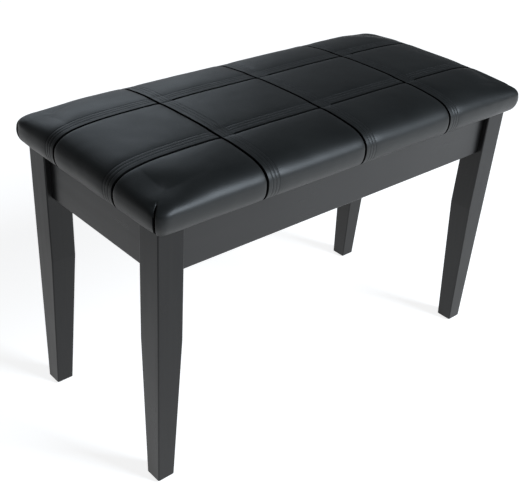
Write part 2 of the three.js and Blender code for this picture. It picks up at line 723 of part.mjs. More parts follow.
// An angle bracket: a flange screwed under the lid and a lug that holds the pin
function addLidBracket(side, overlap) {
  const flangeTop = SEAT_HEM - FIT_GAP;
  const lugTop = { y: STAY_LID_PIVOT.y, z: flangeTop - LUG_HALF_WIDTH };
  const lugSpan = span(side, lidPlateStart, lidPlateStart + PLATE_THICKNESS);
  const lug = plateAlongX(barOutline(STAY_LID_PIVOT, lugTop, LUG_HALF_WIDTH), ...lugSpan);
  const trim = box(
    [-FRAME_LENGTH, -FRAME_DEPTH, flangeTop - overlap],
    [FRAME_LENGTH, FRAME_DEPTH, flangeTop + 20],
  );
  const [flangeLow, flangeHigh] = span(side, lidPlateStart, lidPlateStart + FLANGE_LENGTH);
  const flange = box(
    [flangeLow, STAY_LID_PIVOT.y - FLANGE_HALF_WIDTH, flangeTop - PLATE_THICKNESS],
    [flangeHigh, STAY_LID_PIVOT.y + FLANGE_HALF_WIDTH, flangeTop],
  );
  const pinEnd = lowerArmStart + ARM_THICKNESS - 1.3;
  const shank = barAlongX(
    STAY_PIN_RADIUS, ...span(side, pinEnd + 1, lidPlateStart + overlap), STAY_LID_PIVOT.y, STAY_LID_PIVOT.z,
  );
  const screw = stayScrewInLid(side);
  const place = [screw.x, screw.y, screw.z];
  const flip = [Math.PI, 0, 0];
  const bracket = join([cut(lug, [trim]), flange, shank]);
  addPart(`${side.name}_stay_lid_bracket`, cut(bracket, [screwHole(place, flip)]), STEEL);
  addScrew(`${side.name}_stay_lid_screw`, place, flip);
}

// ---- Bumpers ----

function addBumper(corner) {
  const bumper = addPart(`${corner.name}_bumper`, turned([
    [0, 0],
    [BUMPER_RADIUS, 0],
    [BUMPER_RADIUS, BUMPER_HEIGHT - 1.2],
    [BUMPER_RADIUS - 1.5, BUMPER_HEIGHT - 0.3],
    [0, BUMPER_HEIGHT],
  ]), RUBBER);
  bumper.position.set(
    corner.x * (FRAME_LENGTH - LEG_TOP_WIDTH) / 2,
    corner.y * (FRAME_DEPTH - LEG_TOP_WIDTH) / 2,
    FRAME_TOP + FIT_GAP / 3,
  );
}

CORNERS.forEach(addCorner);
addAprons();
addBottomPanel();
addLid();
SIDES.forEach(addHinge);
SIDES.forEach(addStay);
CORNERS.filter((corner) => corner.y < 0).forEach(addBumper);

export default bench;
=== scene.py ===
"""A black piano bench with a padded, grid-stitched leather lid, on a pale studio floor."""

import json
import math

import bpy
import numpy as np
from mathutils import Matrix, Vector, noise


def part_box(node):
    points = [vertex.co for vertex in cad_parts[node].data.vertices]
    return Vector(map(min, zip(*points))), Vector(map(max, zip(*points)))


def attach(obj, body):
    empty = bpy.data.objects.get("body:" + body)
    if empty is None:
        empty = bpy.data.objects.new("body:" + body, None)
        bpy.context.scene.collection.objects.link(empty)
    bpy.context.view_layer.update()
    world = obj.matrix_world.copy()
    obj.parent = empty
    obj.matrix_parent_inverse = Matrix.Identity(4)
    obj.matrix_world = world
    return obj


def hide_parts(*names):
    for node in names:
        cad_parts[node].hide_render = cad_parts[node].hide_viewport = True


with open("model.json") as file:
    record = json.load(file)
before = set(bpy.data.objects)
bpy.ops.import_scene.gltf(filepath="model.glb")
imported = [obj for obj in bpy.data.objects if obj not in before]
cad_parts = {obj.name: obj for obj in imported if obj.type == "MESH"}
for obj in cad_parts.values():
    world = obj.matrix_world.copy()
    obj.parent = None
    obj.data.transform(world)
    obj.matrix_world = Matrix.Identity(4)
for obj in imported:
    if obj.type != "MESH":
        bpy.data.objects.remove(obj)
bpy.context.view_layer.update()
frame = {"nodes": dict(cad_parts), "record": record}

MM = 0.001
TINY = 1e-6
NOT_ZERO = 1e-12  # keeps a division safe

# Camera: three angles and its place, in metres
CAMERA_AZIMUTH = math.radians(-43.27)
CAMERA_ELEVATION = math.radians(33.46)
CAMERA_ROLL = math.radians(3.925)
CAMERA_PLACE = Vector((-0.9205, -0.9293, 0.9929))
SENSOR_WIDTH = 36.0
LENS = 60.507
SHIFT = (0.0158, 0.0726)

# Seat cover, sewn from twelve panels
seat_low, seat_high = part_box("seat_cover")
HALF_LENGTH = seat_high.x
HALF_DEPTH = seat_high.y
HEM = seat_low.z
CROWN = 9.5 * MM  # height of each of the top's two vaults; the middle rises three quarters of it
CROWN_FLATNESS = 4.7  # how long the top stays level along its length
CROWN_BLEND = 2.5  # how sharply one vault gives way to the other
CORNER_REACH = 44 * MM  # how far the rounding of a corner spreads along each side
CORNER_DROOP = 8 * MM  # how much lower the padding lies at a corner
DROOP_REACH = 38 * MM
WAVE_DEPTH = 0.55 * MM  # slow waves of the padding
RIPPLE_DEPTH = 0.16 * MM
WAVE_SCALE = 14  # per metre
RIPPLE_SCALE = 55

# The panels' swelling, found on a coarse lattice and spread onto a fine one
COARSE_STEP = 9 * MM
FINE_STEP = 5 * MM
FINE_PROFILE_STEPS = 4  # points of the fine cover to each step of the profile
PRESSURE = 4.0
CLOTH_FRAMES = 20
PUFF_LIMIT = 2.8 * MM
SMOOTHING_ROUNDS = 12
OWN_WEIGHT = 0.25  # of a point's own move, against all its neighbours' together
SHORTEST_GAP = 0.2 * MM

# Seam lines: a crease, then a flat top-stitched band on its positive side
CREASES_ACROSS = [-200 * MM, -10 * MM, 183 * MM]
CREASES_ALONG = [-80 * MM, 63 * MM]
STITCH_ROWS = [9 * MM, 15 * MM, 21 * MM]
BAND_WIDTH = 22.5 * MM
BAND_START = (-0.2 * MM, 0.6 * MM)  # where a band across takes over from the seams along
BAND_END = (BAND_WIDTH, BAND_WIDTH + 1.5 * MM)  # and where it lets go of them
ROW_DEPTH = 0.6 * MM
ROW_WIDTH = 0.65 * MM
TOP_ROW_SHARE = 0.55  # of the rows' depth, on the top
CREASE_DEPTH = 5 * MM
CREASE_BEFORE = 1.8 * MM  # half widths of a crease, on its two sides
CREASE_AFTER = 1 * MM
CREASE_SHADE = 0.65 * MM  # how far the painted shade inside a crease reaches past its second side
FALL_BEFORE = (1.5 * MM, 4.5 * MM)  # depth and reach of the padding's fall towards a crease
FALL_BEYOND = (0.8 * MM, 7 * MM)  # and beyond its band
SIDE_FALL_LOSS = 0.75  # share of that fall, and of the creases' depth, lost down the sides
SIDE_CREASE_LOSS = 0.5
ON_SEAM = 0.1 * MM  # a point this near a crease is on it

# Pleats, one by each corner. Heights are places in the side profile.
PLEAT_OFFSET = -3.5 * MM  # from a corner's middle, round towards the front or back
PLEAT_DEPTH = 3 * MM
PLEAT_WIDTH = 0.9 * MM
TUCK_DEPTH = 3 * MM  # how far the end's leather is pressed in beside the pleat
TUCK_REACH = 9 * MM
FRONT_PLEAT_TOP = 2.5
BACK_PLEAT_TOP = 5
PLEAT_RUN_IN = 2  # how many places a pleat takes to reach its depth
PLEAT_LOSS = 0.5  # share of its depth lost down the sides
PLEAT_SHADE = (-2.3 * MM, 0.65 * MM)  # the two edges of each pleat's pocket of painted shade
PLEAT_SHADE_TOP = 6

STITCH_PITCH = 3.6 * MM
STITCH_LENGTH = 2.7 * MM
STITCH_CLEARANCE = 1 * MM  # from where a stitch starts to the next crease
THREAD_RADIUS = 0.36 * MM
THREAD_SIDES = 5
# Sections of a stitch: place along it, then width and height in thread radii
STITCH_SECTIONS = [(0.0, 0.35, -0.75), (0.18, 1.0, 0.1), (0.82, 1.0, 0.1), (1.0, 0.35, -0.75)]

FOAM_STEP = 12 * MM
FOAM_GAP = 9 * MM  # between the leather's plain form and the foam, clear of every crease

FLOOR_SIZE = 14.0
FLOOR_GLOW = 0.84
FLOOR_GLOW_LEFT = 0.35 * FLOOR_GLOW
FLOOR_FADE = (-0.54, -0.95)  # where the floor's glow fades to the left, along X
BACKDROP_GLOW = 0.24
BACKDROP_EDGE = (0.2, 0.48)  # upward parts of a direction between which the backdrop fades out
BACKDROP_REACH = (0.3, 0.8)  # backward parts between which it comes in
ROOM_GLOW = 0.05
COOL_LIGHT = (0.8, 0.9, 1.0)


# ---- Camera, light and floor ----

def make_camera():
    data = bpy.data.cameras.new("camera")
    data.sensor_width = SENSOR_WIDTH
    data.lens = LENS
    data.shift_x, data.shift_y = SHIFT
    back = Vector((
        math.sin(CAMERA_AZIMUTH) * math.cos(CAMERA_ELEVATION),
        -math.cos(CAMERA_AZIMUTH) * math.cos(CAMERA_ELEVATION),
        math.sin(CAMERA_ELEVATION),
    ))
    right = (-back).cross(Vector((0, 0, 1))).normalized()
    up = right.cross(-back)
    rolled_right = math.cos(CAMERA_ROLL) * right + math.sin(CAMERA_ROLL) * up
    rolled_up = math.cos(CAMERA_ROLL) * up - math.sin(CAMERA_ROLL) * right
    camera = bpy.data.objects.new("camera", data)
    turn = Matrix((rolled_right, rolled_up, back)).transposed().to_4x4()
    camera.matrix_world = Matrix.Translation(CAMERA_PLACE) @ turn
    bpy.context.scene.collection.objects.link(camera)
    bpy.context.scene.camera = camera


def make_softbox(name, place, aim, size, power):
    data = bpy.data.lights.new(name, "AREA")
    data.color = COOL_LIGHT
    data.shape = "RECTANGLE"
    data.size, data.size_y = size
    data.energy = power
    light = bpy.data.objects.new(name, data)
    turn = (Vector(aim) - Vector(place)).to_track_quat("-Z", "Y").to_matrix().to_4x4()
    light.matrix_world = Matrix.Translation(place) @ turn
    light.visible_camera = False
    bpy.context.scene.collection.objects.link(light)


def make_world():
    """A pale backdrop low down behind the bench, and darkness overhead and in front."""
    world = bpy.data.worlds.new("studio")
    world.use_nodes = True
    tree = world.node_tree
    direction = add_node(tree, "ShaderNodeTexCoord")
    split = add_node(tree, "ShaderNodeSeparateXYZ")
    tree.links.new(direction.outputs["Generated"], split.inputs[0])
    wall = add_node(tree, "ShaderNodeMapRange", interpolation_type="SMOOTHSTEP")
    tree.links.new(split.outputs["Z"], wall.inputs["Value"])
    low, high = BACKDROP_EDGE
    set_inputs(wall, {"From Min": low, "From Max": high, "To Min": BACKDROP_GLOW, "To Max": 0.0})
    beyond = mapped(tree, split.outputs["Y"], 0, 1, *BACKDROP_REACH)
    backdrop = combined(tree, wall.outputs["Result"], beyond, "MULTIPLY")
    dim = add_node(tree, "ShaderNodeMath", operation="ADD")
    dim.inputs[1].default_value = ROOM_GLOW
    tree.links.new(backdrop, dim.inputs[0])
    background = tree.nodes["Background"]
    background.inputs["Color"].default_value = (0.9, 0.95, 1.0, 1.0)
    tree.links.new(dim.outputs[0], background.inputs["Strength"])
    bpy.context.scene.world = world
    bpy.context.scene.view_settings.view_transform = "Standard"


def make_floor():
    mesh = bpy.data.meshes.new("floor")
    half = FLOOR_SIZE / 2
    corners = [(-half, -half, 0), (half, -half, 0), (half, half, 0), (-half, half, 0)]
    mesh.from_pydata(corners, [], [(0, 1, 2, 3)])
    floor = bpy.data.objects.new("floor", mesh)
    bpy.context.scene.collection.objects.link(floor)
    material, tree, shader = new_material("floor_paper")
    shader.inputs["Base Color"].default_value = (0.5, 0.5, 0.5, 1)
    shader.inputs["Roughness"].default_value = 0.9
    shader.inputs["Specular IOR Level"].default_value = 0.0
    shader.inputs["Emission Color"].default_value = (1, 1, 1, 1)
    place = add_node(tree, "ShaderNodeTexCoord")
    split = add_node(tree, "ShaderNodeSeparateXYZ")
    tree.links.new(place.outputs["Object"], split.inputs[0])
    glow = mapped(tree, split.outputs["X"], FLOOR_GLOW, FLOOR_GLOW_LEFT, *FLOOR_FADE)
    tree.links.new(glow, shader.inputs["Emission Strength"])
    mesh.materials.append(material)


# ---- Material helpers ----

def new_material(name):
    material = bpy.data.materials.new(name)
    material.use_nodes = True
    tree = material.node_tree
    return material, tree, tree.nodes["Principled BSDF"]


def add_node(tree, kind, **settings):
    made = tree.nodes.new(kind)
    for name, value in settings.items():
        setattr(made, name, value)
    return made


def set_inputs(made, values):
    for name, value in values.items():
        made.inputs[name].default_value = value


def place_coords(tree, stretch=(1, 1, 1)):
    """Coordinates in metres, squeezed by a factor along each axis."""
    coords = add_node(tree, "ShaderNodeTexCoord")
    mapping = add_node(tree, "ShaderNodeMapping")
    mapping.inputs["Scale"].default_value = stretch
    tree.links.new(coords.outputs["Object"], mapping.inputs["Vector"])
    return mapping.outputs["Vector"]


def noise_pattern(tree, scale, stretch=(1, 1, 1), detail=4.0, roughness=0.5, distortion=0.0):
    pattern = add_node(tree, "ShaderNodeTexNoise")
    set_inputs(pattern, {
        "Scale": scale, "Detail": detail, "Roughness": roughness, "Distortion": distortion,
    })
    tree.links.new(place_coords(tree, stretch), pattern.inputs["Vector"])
    return pattern.outputs["Fac"]


def cell_pattern(tree, scale):
    pattern = add_node(tree, "ShaderNodeTexVoronoi", feature="F1")
    pattern.inputs["Scale"].default_value = scale
    tree.links.new(place_coords(tree), pattern.inputs["Vector"])
    return pattern.outputs["Distance"]


def mapped(tree, value, to_low, to_high, from_low=0.0, from_high=1.0):
    remap = add_node(tree, "ShaderNodeMapRange")
    set_inputs(remap, {
        "From Min": from_low, "From Max": from_high, "To Min": to_low, "To Max": to_high,
    })
    tree.links.new(value, remap.inputs["Value"])
    return remap.outputs["Result"]


def blended(tree, factor, dark, light):
    mix = add_node(tree, "ShaderNodeMix", data_type="RGBA")
    tree.links.new(factor, mix.inputs["Factor"])
    mix.inputs["A"].default_value = (*dark, 1)
    mix.inputs["B"].default_value = (*light, 1)
    return mix.outputs["Result"]


def combined(tree, first, second, operation="ADD"):
    total = add_node(tree, "ShaderNodeMath", operation=operation)
    tree.links.new(first, total.inputs[0])
    tree.links.new(second, total.inputs[1])
    return total.outputs[0]


def roughen(tree, shader, height, depth, strength):
    """Bump of a real depth in metres."""
    bump = add_node(tree, "ShaderNodeBump")
    set_inputs(bump, {"Strength": strength, "Distance": depth})
    tree.links.new(height, bump.inputs["Height"])
    tree.links.new(bump.outputs["Normal"], shader.inputs["Normal"])


# ---- Materials ----

# By the axis along which a piece's grain runs
GRAIN_STRETCH = {"x": (0.04, 1, 1), "y": (1, 0.04, 1), "z": (1, 1, 0.04)}
LACQUER_GLOSS_AND_LEG_SHADE = {"x": 0.5, "y": 0.5, "z": 0.33}  # specular level; the legs' (z) is lowered as painted shade, so they reflect less, standing in for the shadowed floor around them


def lacquered_wood(axis, gloss_and_shade):
    """Black satin lacquer over open-grained wood; the grain runs along one axis. Its specular level comes
    per axis, and the legs' lower one is painted shade.
    """
    material, tree, shader = new_material(f"black_lacquer_{axis}")
    stretch = GRAIN_STRETCH[axis]
    streaks = noise_pattern(tree, 95, stretch, detail=6, roughness=0.62, distortion=0.3)
    pores = noise_pattern(tree, 620, stretch, detail=3, roughness=0.6)
    clouds = noise_pattern(tree, 9, detail=3)
    grain = mapped(tree, streaks, 0, 1, 0.35, 0.7)
    tone = blended(tree, grain, (0.0025, 0.0025, 0.0027), (0.0065, 0.006, 0.0058))
    tree.links.new(tone, shader.inputs["Base Color"])
    sheen = combined(
        tree, mapped(tree, streaks, -0.05, 0.05, 0.3, 0.7), mapped(tree, clouds, 0.29, 0.37, 0.3, 0.7),
    )
    tree.links.new(sheen, shader.inputs["Roughness"])
    height = combined(tree, mapped(tree, streaks, 0, 1), mapped(tree, pores, 0, 0.55))
    roughen(tree, shader, height, 0.1 * MM, 0.3)
    shader.inputs["IOR"].default_value = 1.48
    # Painted shade: the legs' copy gets a lower specular level, darkening their reflection of the floor
    shader.inputs["Specular IOR Level"].default_value = gloss_and_shade
    return material


def upholstery_leather():
    """Black leather with a fine pebbled grain and a soft sheen."""
    material, tree, shader = new_material("black_leather")
    pebbles = cell_pattern(tree, 900)
    creases = noise_pattern(tree, 420, detail=5, roughness=0.6)
    clouds = noise_pattern(tree, 14, detail=4)
    wear = mapped(tree, clouds, 0, 1, 0.3, 0.7)
    tree.links.new(
        blended(tree, wear, (0.0095, 0.0105, 0.0105), (0.0135, 0.0145, 0.0142)),
        shader.inputs["Base Color"],
    )
    tree.links.new(mapped(tree, clouds, 0.42, 0.49, 0.3, 0.7), shader.inputs["Roughness"])
    height = combined(tree, mapped(tree, pebbles, 0, 0.8, 0, 0.8), mapped(tree, creases, 0, 0.6))
    roughen(tree, shader, height, 0.16 * MM, 0.45)
    shader.inputs["IOR"].default_value = 1.42
    return material


def painted_shade_leather():
    """Painted shade: near-black, very rough leather that hardly reflects, laid on the faces down inside a
    crease or pleat to stand in for the shade where hardly any light gets in.
    """
    material, tree, shader = new_material("painted_crease_shade")
    grain = noise_pattern(tree, 420, detail=4)
    tone = blended(tree, grain, (0.001, 0.001, 0.001), (0.003, 0.003, 0.003))
    tree.links.new(tone, shader.inputs["Base Color"])
    shader.inputs["Roughness"].default_value = 0.95
    shader.inputs["Specular IOR Level"].default_value = 0.1
    roughen(tree, shader, grain, 0.1 * MM, 0.4)
    return material


def sewing_thread():
    material, tree, shader = new_material("black_thread")
    twist = noise_pattern(tree, 2400, detail=2)
    tree.links.new(
        blended(tree, twist, (0.008, 0.008, 0.009), (0.02, 0.02, 0.022)), shader.inputs["Base Color"],
    )
    shader.inputs["Roughness"].default_value = 0.6
    roughen(tree, shader, twist, 0.1 * MM, 0.6)
    return material


def bare_wood(name, dark, light):
    material, tree, shader = new_material(name)
    rings = noise_pattern(tree, 70, GRAIN_STRETCH["x"], detail=7, roughness=0.65, distortion=0.6)
    tree.links.new(
        blended(tree, mapped(tree, rings, 0, 1, 0.3, 0.72), dark, light), shader.inputs["Base Color"],
    )
    shader.inputs["Roughness"].default_value = 0.7
    roughen(tree, shader, rings, 0.2 * MM, 0.6)
    return material


def pressed_board():
    material, tree, shader = new_material("hardboard")
    fibres = noise_pattern(tree, 500, detail=6, roughness=0.7, distortion=1.2)
    patches = noise_pattern(tree, 12, detail=3)
    mottle = combined(tree, mapped(tree, fibres, 0, 0.7), mapped(tree, patches, 0, 0.3))
    tone = blended(tree, mottle, (0.055, 0.03, 0.018), (0.12, 0.07, 0.042))
    tree.links.new(tone, shader.inputs["Base Color"])
    shader.inputs["Roughness"].default_value = 0.62
    roughen(tree, shader, fibres, 0.1 * MM, 0.5)
    return material


def open_foam():
    material, tree, shader = new_material("foam")
    cells = cell_pattern(tree, 700)
    tree.links.new(blended(tree, cells, (0.55, 0.48, 0.25), (0.8, 0.74, 0.5)), shader.inputs["Base Color"])
    shader.inputs["Roughness"].default_value = 0.95
    roughen(tree, shader, cells, 0.6 * MM, 0.8)
    return material


def lining_cloth():
    """A thin black non-woven cloth with crossing fibres."""
    material, tree, shader = new_material("lining_cloth")
    warp = noise_pattern(tree, 1400, (1, 0.1, 1), detail=2)
    weft = noise_pattern(tree, 1400, (0.1, 1, 1), detail=2)
    weave = combined(tree, warp, weft, "MULTIPLY")
    tree.links.new(
        blended(tree, mapped(tree, weave, 0, 1, 0.1, 0.45), (0.006, 0.006, 0.007), (0.03, 0.03, 0.032)),
        shader.inputs["Base Color"],
    )
    shader.inputs["Roughness"].default_value = 0.9
    roughen(tree, shader, weave, 0.25 * MM, 0.7)
    return material


def plated_steel():
    material, tree, shader = new_material("plated_steel")
    brushing = noise_pattern(tree, 900, (0.08, 1, 1), detail=4)
    stains = noise_pattern(tree, 60, detail=4)
    tree.links.new(blended(tree, stains, (0.42, 0.42, 0.41), (0.6, 0.6, 0.59)), shader.inputs["Base Color"])
    tree.links.new(mapped(tree, brushing, 0.25, 0.45), shader.inputs["Roughness"])
    shader.inputs["Metallic"].default_value = 1.0
    roughen(tree, shader, brushing, 0.04 * MM, 0.4)
    return material


def moulded(name, color, roughness, grain):
    material, tree, shader = new_material(name)
    texture = noise_pattern(tree, grain, detail=3)
    light = tuple(1.7 * channel for channel in color)
    tree.links.new(blended(tree, texture, color, light), shader.inputs["Base Color"])
    tree.links.new(mapped(tree, texture, roughness - 0.08, roughness + 0.08), shader.inputs["Roughness"])
    roughen(tree, shader, texture, 0.08 * MM, 0.5)
    return material


def grain_axis(node):
    if node.endswith("_leg"):
        return "z"
    return "y" if node in ("left_apron", "right_apron") else "x"


def dress_frame():
    """Gives every carried-over CAD node its material, by the record's slot.

    The leather slot has none here, as the sewn cover takes the place of its node.
    """
    lacquers = {axis: lacquered_wood(axis, gloss_and_shade) for axis, gloss_and_shade in LACQUER_GLOSS_AND_LEG_SHADE.items()}
    looks = {
        "raw_wood": bare_wood("plywood", (0.36, 0.23, 0.12), (0.6, 0.43, 0.26)),
        "hardboard": pressed_board(),
        "foam": open_foam(),
        "lining": lining_cloth(),
        "steel": plated_steel(),
        "nylon": moulded("nylon", (0.012, 0.012, 0.012), 0.5, 500),
        "rubber": moulded("rubber", (0.01, 0.01, 0.01), 0.75, 900),
    }
    slots = {part["node"]: part["material_slot"] for part in frame["record"]["subparts"]}
    for node, obj in frame["nodes"].items():
        look = lacquers[grain_axis(node)] if slots[node] == "black_wood" else looks.get(slots[node])
        if look is None:
            continue
        obj.data.materials.clear()
        obj.data.materials.append(look)
    return looks


# ---- Seat cover ----
# The cover is a lattice over the top, whose outer loop goes on as rings over
# the roll, down the sides and under the board. Every point keeps its lattice
# place (x, y), so a seam runs straight from the top down the sides.

# Side profile, in millimetres: inset from the widest part and height above the
# hem. The roll from the top down to the widest part is a superellipse, a little
# fuller than an ellipse, and below it the leather turns in under the board.
WIDEST = 7  # place of the widest point in the profile
WIDEST_HEIGHT = 24
ROLL_REACH = 56
ROLL_RISE = 30.8
ROLL_FULLNESS = 2.3
ROLL_START = math.radians(16)
UNDERCUT = [
    (0.3, 18.0), (1.6, 12.0), (3.8, 6.8), (6.6, 2.8),
    (9.4, 0.7), (12.5, 0.0), (24.0, 0.1), (38.0, 0.1),
]
HEM_START = WIDEST + 4
UNDERSIDE = WIDEST + 6
ROWS_END = UNDERSIDE - 1.2  # where the stitches stop, under the board


def roll_point(step):
    """Inset and height at a step of the roll, whose last step is the widest point."""
    angle = ROLL_START + (math.pi / 2 - ROLL_START) * step / WIDEST
    inwards = ROLL_REACH * (1 - math.sin(angle) ** (2 / ROLL_FULLNESS))
    upwards = ROLL_RISE * max(math.cos(angle), 0.0) ** (2 / ROLL_FULLNESS)
    return inwards, WIDEST_HEIGHT + upwards


PROFILE = [roll_point(step) for step in range(WIDEST + 1)] + UNDERCUT
TOP_INSET = PROFILE[0][0] * MM
TOP_EDGE_HEIGHT = PROFILE[0][1] * MM


def smooth_curve(before, points, steps):
    """A Catmull-Rom curve that comes from one point and goes through the others."""
    points = np.array(points, float)
    ends = np.vstack([before, points, 2 * points[-1] - points[-2]])
    params = np.linspace(0, len(points) - 1, (len(points) - 1) * steps + 1)
    curve = []
    for param in params:
        span = min(int(param), len(points) - 2)
        t = param - span
        a, b, c, d = ends[span:span + 4]
        curve.append(0.5 * (
            2 * b + (c - a) * t + (2 * a - 5 * b + 4 * c - d) * t * t + (3 * b - a - 3 * c + d) * t ** 3
        ))
    return params, np.array(curve)


def seam_offsets():
    """Lattice lines beside a crease, close together where the leather bends sharply."""
    offsets = [-22, -16, -12, -9, -6.5, -4.5, -3, -2.2, -1.8, -1.4, -1, -0.5, 0, 0.5, 0.9, 1.2, 1.6, 2.4]
    offsets += [3.5, 5, 6.6, 26, 31]
    for row in STITCH_ROWS:
        offsets += [row / MM + shift for shift in (-2.2, -1.2, -0.6, 0, 0.6, 1.2, 2.2)]
    return sorted(set(round(offset, 3) for offset in offsets))


def corner_offsets():
    """Lattice lines near a corner, close together at the pleat."""
    pleat = PLEAT_OFFSET / MM
    near = [abs(pleat + shift) for shift in (-2.2, -1.6, -1.1, -0.6, 0, 0.6, 1.1, 1.6, 2.2)]
    return [0, *near, *np.arange(4.4, CORNER_REACH / MM + 1, 2.2)]


def lattice_lines(half, creases, step, fine):
    """Places of the lattice lines along one axis, no further apart than a step."""
    lines = set()
    if fine:
        for crease in creases:
            lines.update(round(crease + offset * MM, 6) for offset in seam_offsets())
        for offset in corner_offsets():
            lines.update(round(side * (half - offset * MM), 6) for side in (-1, 1))
    else:
        lines.update(creases)
        lines.update([-half, half])
    lines = sorted(lines)
    filled = []
    for low, high in zip(lines, lines[1:]):
        count = max(1, math.ceil((high - low) / step - TINY))
        filled += [low + (high - low) * part / count for part in range(count)]
    return np.array(filled + [lines[-1]])


def crown_height(x, y, half_x, half_y):
    """A smooth minimum of two vaults, so the top leaves every edge at the same slope."""
    along = 1 - np.abs(x / half_x) ** CROWN_FLATNESS
    across = 1 - (y / half_y) ** 2
    blend = np.maximum(along ** CROWN_BLEND + across ** CROWN_BLEND, NOT_ZERO) ** (1 / CROWN_BLEND)
    return CROWN * along * across / blend


def corner_radius(param):
    """Plan radius of a ring's corners, by its place in the profile."""
    places = [0, 1, 2.5, 4, WIDEST, HEM_START, UNDERSIDE, len(PROFILE) - 1]
    radii = [1.5, 10, 20, 24, 20, 12, 6, 3]
    return np.interp(param, places, radii) * MM


def round_corner(place_x, place_y, half_x, half_y, outset, radius):
    """Moves a point of the top's outline out to a ring with rounded corners."""
    sign_x = 1 if place_x >= 0 else -1
    sign_y = 1 if place_y >= 0 else -1
    on_front = abs(abs(place_y) - half_y) < TINY
    if on_front:
        along, half_along, half_off = abs(place_x), half_x, half_y
    else:
        along, half_along, half_off = abs(place_y), half_y, half_x
    start = half_along - CORNER_REACH
    reach = half_along + outset - radius
    if along <= start:
        flat, off = along, half_off + outset
    else:
        straight = reach - start
        arc = radius * math.pi / 4
        travelled = (along - start) / CORNER_REACH * (straight + arc)
        if travelled <= straight:
            flat, off = start + travelled, half_off + outset
        else:
            angle = (travelled - straight) / radius
            flat = reach + radius * math.sin(angle)
            off = half_off + outset - radius + radius * math.cos(angle)
    x, y = (flat, off) if on_front else (off, flat)
    return sign_x * x, sign_y * y


class Cover:
    """Points, lattice places and faces of the cover at one resolution."""

    def __init__(self, step, profile_steps, fine):
        self.half_x = HALF_LENGTH - TOP_INSET
        self.half_y = HALF_DEPTH - TOP_INSET
        self.xs = lattice_lines(self.half_x, CREASES_ACROSS, step, fine)
        self.ys = lattice_lines(self.half_y, CREASES_ALONG, step, fine)
        params, curve = smooth_curve(roll_point(-1), PROFILE, profile_steps)
        self.params = params
        self.profile = curve * MM
        self.lay_top()
        self.lay_rings()
        self.join_faces()

    def lay_top(self):
        grid_x, grid_y = np.meshgrid(self.xs, self.ys, indexing="ij")
        height = HEM + TOP_EDGE_HEIGHT + crown_height(grid_x, grid_y, self.half_x, self.half_y)
        self.top = np.stack([grid_x, grid_y, height], axis=-1)

    def lay_rings(self):
        last_x, last_y = len(self.xs) - 1, len(self.ys) - 1
        loop = [(i, 0) for i in range(last_x)]
        loop += [(last_x, j) for j in range(last_y)]
        loop += [(i, last_y) for i in range(last_x, 0, -1)]
        loop += [(0, j) for j in range(last_y, 0, -1)]
        self.loop = loop
        self.loop_places = np.array([(self.xs[i], self.ys[j]) for i, j in loop])
        rings = []
        for param, (inset, height) in zip(self.params[1:], self.profile[1:]):
            outset = TOP_INSET - inset
            radius = corner_radius(param)
            ring = [
                (*round_corner(x, y, self.half_x, self.half_y, outset, radius), HEM + height)
                for x, y in self.loop_places
            ]
            rings.append(ring)
        self.rings = np.array(rings)

    def join_faces(self):
        count_x, count_y = len(self.xs), len(self.ys)
        faces = []
        for i in range(count_x - 1):
            for j in range(count_y - 1):
                corner = i * count_y + j
                faces.append((corner, corner + count_y, corner + count_y + 1, corner + 1))
        inner = [i * count_y + j for i, j in self.loop]
        start = count_x * count_y
        count = len(self.loop)
        for _ in range(len(self.rings)):
            outer = list(range(start, start + count))
            for place in range(count):
                after = (place + 1) % count
                faces.append((inner[place], outer[place], outer[after], inner[after]))
            inner = outer
            start += count
        self.faces = faces

    def points(self):
        return np.vstack([self.top.reshape(-1, 3), self.rings.reshape(-1, 3)])

    def places(self):
        """Each point's lattice x and y and its place in the profile."""
        grid_x, grid_y = np.meshgrid(self.xs, self.ys, indexing="ij")
        top = np.stack([grid_x, grid_y, np.zeros_like(grid_x)], axis=-1).reshape(-1, 3)
        rings = [
            np.column_stack([self.loop_places, np.full(len(self.loop), param)])
            for param in self.params[1:]
        ]
        return np.vstack([top, *rings])

    def spread(self, moves, other):
        """Carries moves known at this cover's points over to another cover's points."""
        count = self.top.shape[0] * self.top.shape[1]
        top = moves[:count].reshape(*self.top.shape[:2], -1)
        top = along_axis(other.xs, self.xs, top, 0)
        top = along_axis(other.ys, self.ys, top, 1)
        edge = np.array([moves[i * len(self.ys) + j] for i, j in self.loop])
        rings = np.concatenate([edge[None], moves[count:].reshape(len(self.rings), len(self.loop), -1)])
        own, wanted = self.loop_distance(), other.loop_distance()
        length = 4 * (self.half_x + self.half_y)
        rings = np.concatenate([rings, rings[:, :1]], axis=1)
        rings = along_axis(wanted, np.append(own, length), rings, 1)
        rings = along_axis(other.params, self.params, rings, 0)[1:]
        return np.vstack([top.reshape(-1, top.shape[-1]), rings.reshape(-1, top.shape[-1])])

    def loop_distance(self):
        steps = np.diff(self.loop_places, axis=0)
        return np.concatenate([[0], np.cumsum(np.abs(steps).sum(axis=1))])


def along_axis(wanted, known, values, axis):
    """Linear interpolation of an array along one axis."""
    values = np.moveaxis(values, axis, 0)
    place = np.interp(wanted, known, np.arange(len(known)))
    low = np.minimum(place.astype(int), len(known) - 2)
    share = (place - low).reshape(-1, *([1] * (values.ndim - 1)))
    mixed = values[low] * (1 - share) + values[low + 1] * share
    return np.moveaxis(mixed, 0, axis)


def mesh_object(name, points, faces):
    mesh = bpy.data.meshes.new(name)
    mesh.from_pydata(points.tolist(), [], faces)
    mesh.polygons.foreach_set("use_smooth", [True] * len(mesh.polygons))
    mesh.update()
    obj = bpy.data.objects.new(name, mesh)
    bpy.context.scene.collection.objects.link(obj)
    return obj


